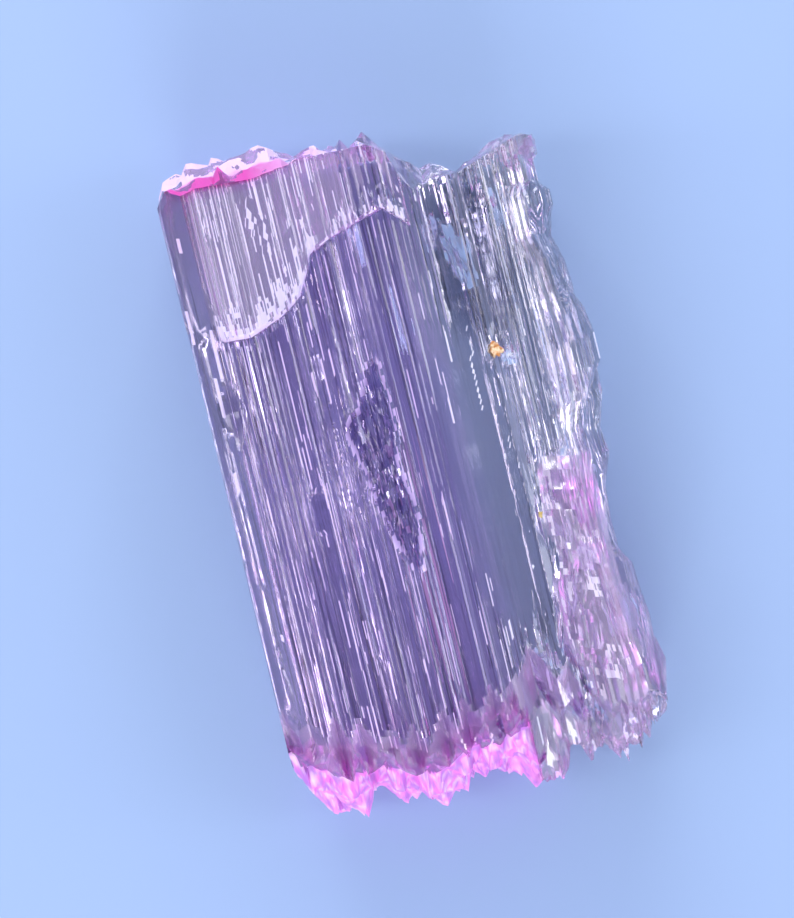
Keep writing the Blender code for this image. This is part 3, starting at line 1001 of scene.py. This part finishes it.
kunzite = stone_material("kunzite_spodumene", clear=0.95, roughness=POLISHED)
tree = kunzite.node_tree
stone = tree.nodes["Principled BSDF"]
painted = add_node(tree, "ShaderNodeAttribute", {"attribute_name": "tint"})
place = add_node(tree, "ShaderNodeTexCoord")
along = add_node(tree, "ShaderNodeMapping", {"Scale": mm_scale(*THIN_STRIAE)},
                 {"Vector": place.outputs["Object"]})
lines = add_node(tree, "ShaderNodeTexNoise", {"Scale": 1.0, "Detail": 2.0},
                 {"Vector": along.outputs["Vector"]})
fade = {"From Min": LINE_VALUES[0], "From Max": LINE_VALUES[1], "To Min": LINE_SHADE_STRENGTH, "To Max": 0.0}
# Painted shade: dark lines along the thin striae, drawn into the base colour.
dark = add_node(tree, "ShaderNodeMapRange", fade, {"Value": lines.outputs["Fac"]})
drawn_shade = add_node(tree, "ShaderNodeMath", {"operation": "MULTIPLY"},
                 {0: dark.outputs["Result"], 1: painted.outputs["Alpha"]})
rest = add_node(tree, "ShaderNodeMath", {"operation": "SUBTRACT"}, {1: drawn_shade.outputs["Value"]})
rest.inputs[0].default_value = 1.0
both = add_node(tree, "ShaderNodeVectorMath", {"operation": "SCALE"},
                {"Vector": painted.outputs["Color"], "Scale": rest.outputs["Value"]})
tree.links.new(both.outputs["Vector"], stone.inputs["Base Color"])
uneven = add_node(tree, "ShaderNodeBump", {"Strength": 0.3, "Distance": THIN_STRIA_DEPTH},
                  {"Height": lines.outputs["Fac"]})
tree.links.new(uneven.outputs["Normal"], stone.inputs["Normal"])
hazy = add_node(tree, "ShaderNodeAttribute", {"attribute_name": "haze"})
tree.links.new(hazy.outputs["Fac"], stone.inputs["Roughness"])
print("clear kunzite:", len(tree.nodes), "nodes")

# %% [markdown]
# Where etching or a break has left the skin rough, it scatters light and looks white or pink. Two more
# materials are the same stone with such a skin. Etched kunzite lets little light through, and veiled kunzite
# has a thin milky veil that still lets most of it through. Each face gets one of the three, so that every
# material keeps one fixed clearness.

# %% Etched and veiled kunzite
MILKY = "#F8F4FF"


def milky_stone(name, clear, roughness):
    """Kunzite with a scattering skin, in its painted tint."""
    material = stone_material(name, clear, roughness)
    tree = material.node_tree
    painted = add_node(tree, "ShaderNodeAttribute", {"attribute_name": "tint"})
    milky = add_node(tree, "ShaderNodeVectorMath", {"operation": "MULTIPLY"}, {0: painted.outputs["Color"]})
    milky.inputs[1].default_value = linear(MILKY)[:3]
    tree.links.new(milky.outputs["Vector"], tree.nodes["Principled BSDF"].inputs["Base Color"])
    return material


etched = milky_stone("etched_kunzite", clear=0.25, roughness=0.4)
veiled = milky_stone("veiled_kunzite", clear=0.8, roughness=0.2)
print("skins of the stone:", kunzite.name, etched.name, veiled.name)

# %% [markdown]
# The etched skin covers fine streaks along the left, a jagged band above the growth step, crumbs round the
# hollow and on the broken ground, patches of the upper end, and the crust of the lower end. The veil covers
# streaks of the layer above the step, most splinters of the broken ground, and the facets at the lower end.

# %% Where the skin is etched
# No streak, band or veil above the step reaches left of here, onto the bevel.
SKIN_FROM = -9.6
# Width and length in mm of a frosted crumb and how far its rows slant, and of a patch of the upper end.
CRUMB = (0.16, 0.34)
CRUMB_SLANT = 0.68
PATCH = (1.3, 1.1)
# The share of the ground that frost covers: on the broken ground, at the hollow's rim, above the step and in
# patches of the upper end.
FLECK_SHARE = 0.4
RIM_SHARE = 0.55
BAND_SHARE = 0.95
PATCH_SHARE = 0.7
# The part of the lower end's height that has a frosted crust.
CRUST_UP_TO = 0.75


def streak_at(x, y):
    """Fine frosted streaks along the stone. They are close together at the upper left."""
    over = above_step(x, y)
    left = ramp(x, SKIN_FROM, -9.0)
    upper = ramp(over, 0.3, 1.5) * left * ramp(x, 0.5, -2.0) if over is not None else 0.0
    line = drift(x, y, (0.07, 4.0), 61) + 0.2 * drift(x, y, (0.5, 3.0), 62)
    least = 0.52 - 0.06 * (left * ramp(x, 3.0, 0.0)) - 0.22 * upper
    return ramp(line, least, least + 0.05) * (1 - max(in_hollow(x, y), in_broken(x, y)))


def crumb_at(x, y, share):
    """1 on crumbs of frost, which cover a share of the ground."""
    middle = piece_middle(x, y + CRUMB_SLANT * x, CRUMB, 71)
    return 1.0 if piece_chance(middle, 72) < share else 0.0


def end_frost(x, y, z):
    """How frosted the ends are: the lower one all over its crust, and the upper one in patches."""
    if y < 0:
        level = z / (GROUND + read_outline(FACE_PROFILE, x))
        return ramp(x, 5.0, 2.5) * (1.0 if level < CRUST_UP_TO else 0.0)
    middle = piece_middle(x, z, PATCH, 26)
    return 1.0 if piece_chance(middle, 27) < PATCH_SHARE * ramp(x, 0.0, -5.0) else 0.0


def face_frost(x, y):
    """How frosted the front face is."""
    patchy = ramp(drift(x, y, (1.0, 2.2), 52), 0.0, 0.25)
    flecks = FLECK_SHARE * in_broken(x, y) * patchy * ramp(x, 9.2, 8.2)
    rim = RIM_SHARE if 0.02 < in_hollow(x, y) < 0.75 else 0.0
    frost = crumb_at(x, y, max(flecks, rim))
    over = above_step(x, y)
    if over is not None and over > 0.15 and x > SKIN_FROM:
        tall = 2.0 * ramp(x, -3.2, -4.6) * (0.8 + 0.5 * drift(x, 0, (1.2, 1), 24)) + 0.45
        spikes = over + 1.6 * drift(x, y, (0.2, 0.9), 21)
        frost = max(frost, crumb_at(x, y, BAND_SHARE * ramp(spikes, tall, 0.2 * tall)))
    return max(frost, streak_at(x, y))


print("frost on the face at the hollow's rim and at the middle:", face_frost(-3.2, 0), face_frost(3, 0))

# %% Where the skin is veiled
# The share of the splinters that have a veil, and where the far right begins, which has none.
VEILED_SHARE = 0.95
VEIL_UP_TO = 9.6


def in_veil(x, y):
    """True where a thin milky veil covers the face."""
    over = above_step(x, y)
    if over is not None and over > 0.1 and x > SKIN_FROM:
        return drift(x, y, (0.3, 5.0), 63) < ramp(x, 1.0, -2.5) - 0.3
    if end_facet(x, y) > 0.02:
        return True
    if in_broken(x, y) <= 0.5 or x >= VEIL_UP_TO:
        return False
    return piece_chance(piece_middle(x, y, *BROKEN_SPLINTERS), 11) < VEILED_SHARE


print("veil on the broken ground and in the window:", in_veil(8, -8), in_veil(3, 0))

# %% Give each face its skin
SKINS = [kunzite, etched, veiled]
# How far up a face looks at the least to be on the front.
LOOKS_UP = 0.2
# Faces that meet at less than this look like one smooth skin, and sharper edges stay sharp.
SMOOTH_UP_TO = math.radians(9)

mesh.materials.clear()
for skin in SKINS:
    mesh.materials.append(skin)
for face in mesh.polygons:
    x, y, z = (c / MM for c in face.center)
    if min(share_on_end(mesh.vertices[v]) for v in face.vertices) > ON_END:
        frost = end_frost(x, y, z)
    else:
        frost = face_frost(x, y) if face.normal.z >= LOOKS_UP else 0.0
    if frost > 0.5:
        face.material_index = SKINS.index(etched)
    elif face.normal.z > LOOKS_UP and in_veil(x, y):
        face.material_index = SKINS.index(veiled)
bpy.ops.object.shade_smooth_by_angle(angle=SMOOTH_UP_TO)
for number, skin in enumerate(SKINS):
    print(skin.name, "on", sum(1 for face in mesh.polygons if face.material_index == number), "faces")

# %% [markdown]
# A small lump of rusty clay sits in a pit of the face, and a paler one lower down. Each is an ico sphere,
# squeezed and roughened, and sunk a little into the stone.

# %% Specks of clay
# How far a lump's middle lies below the plain face, in mm.
SPECK_SUNK = 0.05


def speck(name, place, half, seed):
    """A small rough lump on the face, in mm."""
    bpy.ops.object.select_all(action="DESELECT")
    bpy.ops.mesh.primitive_ico_sphere_add(subdivisions=4, radius=1.0, location=(0, 0, 0))
    lump = bpy.context.object
    lump.name = name
    top = plain_face(*place)
    for vertex in lump.data.vertices:
        large = noise.noise(vertex.co * 1.6 + Vector((seed, 0, 0)))
        rough = 1 + 0.7 * large + 0.25 * noise.noise(vertex.co * 5)
        x, y, z = (c * h * rough for c, h in zip(vertex.co, half))
        vertex.co = Vector((place[0] + x, place[1] + y, top - SPECK_SUNK + z)) * MM
    bpy.ops.object.shade_smooth_by_angle(angle=math.radians(20))
    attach(lump, "root")
    return lump


rusty = speck("rusty_speck", (5.6, 5.4), (0.34, 0.42, 0.16), 2)
pale = speck("pale_speck", (5.9, -4.4), (0.14, 0.18, 0.08), 5)
print("specks:", rusty.name, pale.name)

# %% [markdown]
# Dry clay is dull, and iron stains it brown or yellow in grains of a quarter of a millimetre.

# %% Clay
CLAY_GRAIN = 0.25 * MM


def clay_material(name, light, dark):
    """Dry iron-stained clay, mottled between two colours."""
    material = bpy.data.materials.new(name)
    material.use_nodes = True
    tree = material.node_tree
    clay = tree.nodes["Principled BSDF"]
    clay.inputs["Roughness"].default_value = 0.7
    place = add_node(tree, "ShaderNodeTexCoord")
    grain = add_node(tree, "ShaderNodeTexNoise", {"Scale": 1 / CLAY_GRAIN, "Detail": 4.0},
                     {"Vector": place.outputs["Object"]})
    shades = add_node(tree, "ShaderNodeValToRGB", links={"Fac": grain.outputs["Fac"]})
    shades.color_ramp.elements[0].position = 0.40
    shades.color_ramp.elements[0].color = linear(dark)
    shades.color_ramp.elements[1].position = 0.60
    shades.color_ramp.elements[1].color = linear(light)
    tree.links.new(shades.outputs["Color"], clay.inputs["Base Color"])
    return material


rusty.data.materials.append(clay_material("rusty_clay", "#F0D8B4", "#B9783C"))
pale.data.materials.append(clay_material("pale_clay", "#F4E6B0", "#C8A858"))
print("clay on", rusty.name, "and", pale.name)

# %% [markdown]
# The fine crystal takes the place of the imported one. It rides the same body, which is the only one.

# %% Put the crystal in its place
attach(crystal, "root")
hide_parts("kunzite_crystal")
print("the fine crystal has", len(crystal.data.polygons), "faces")
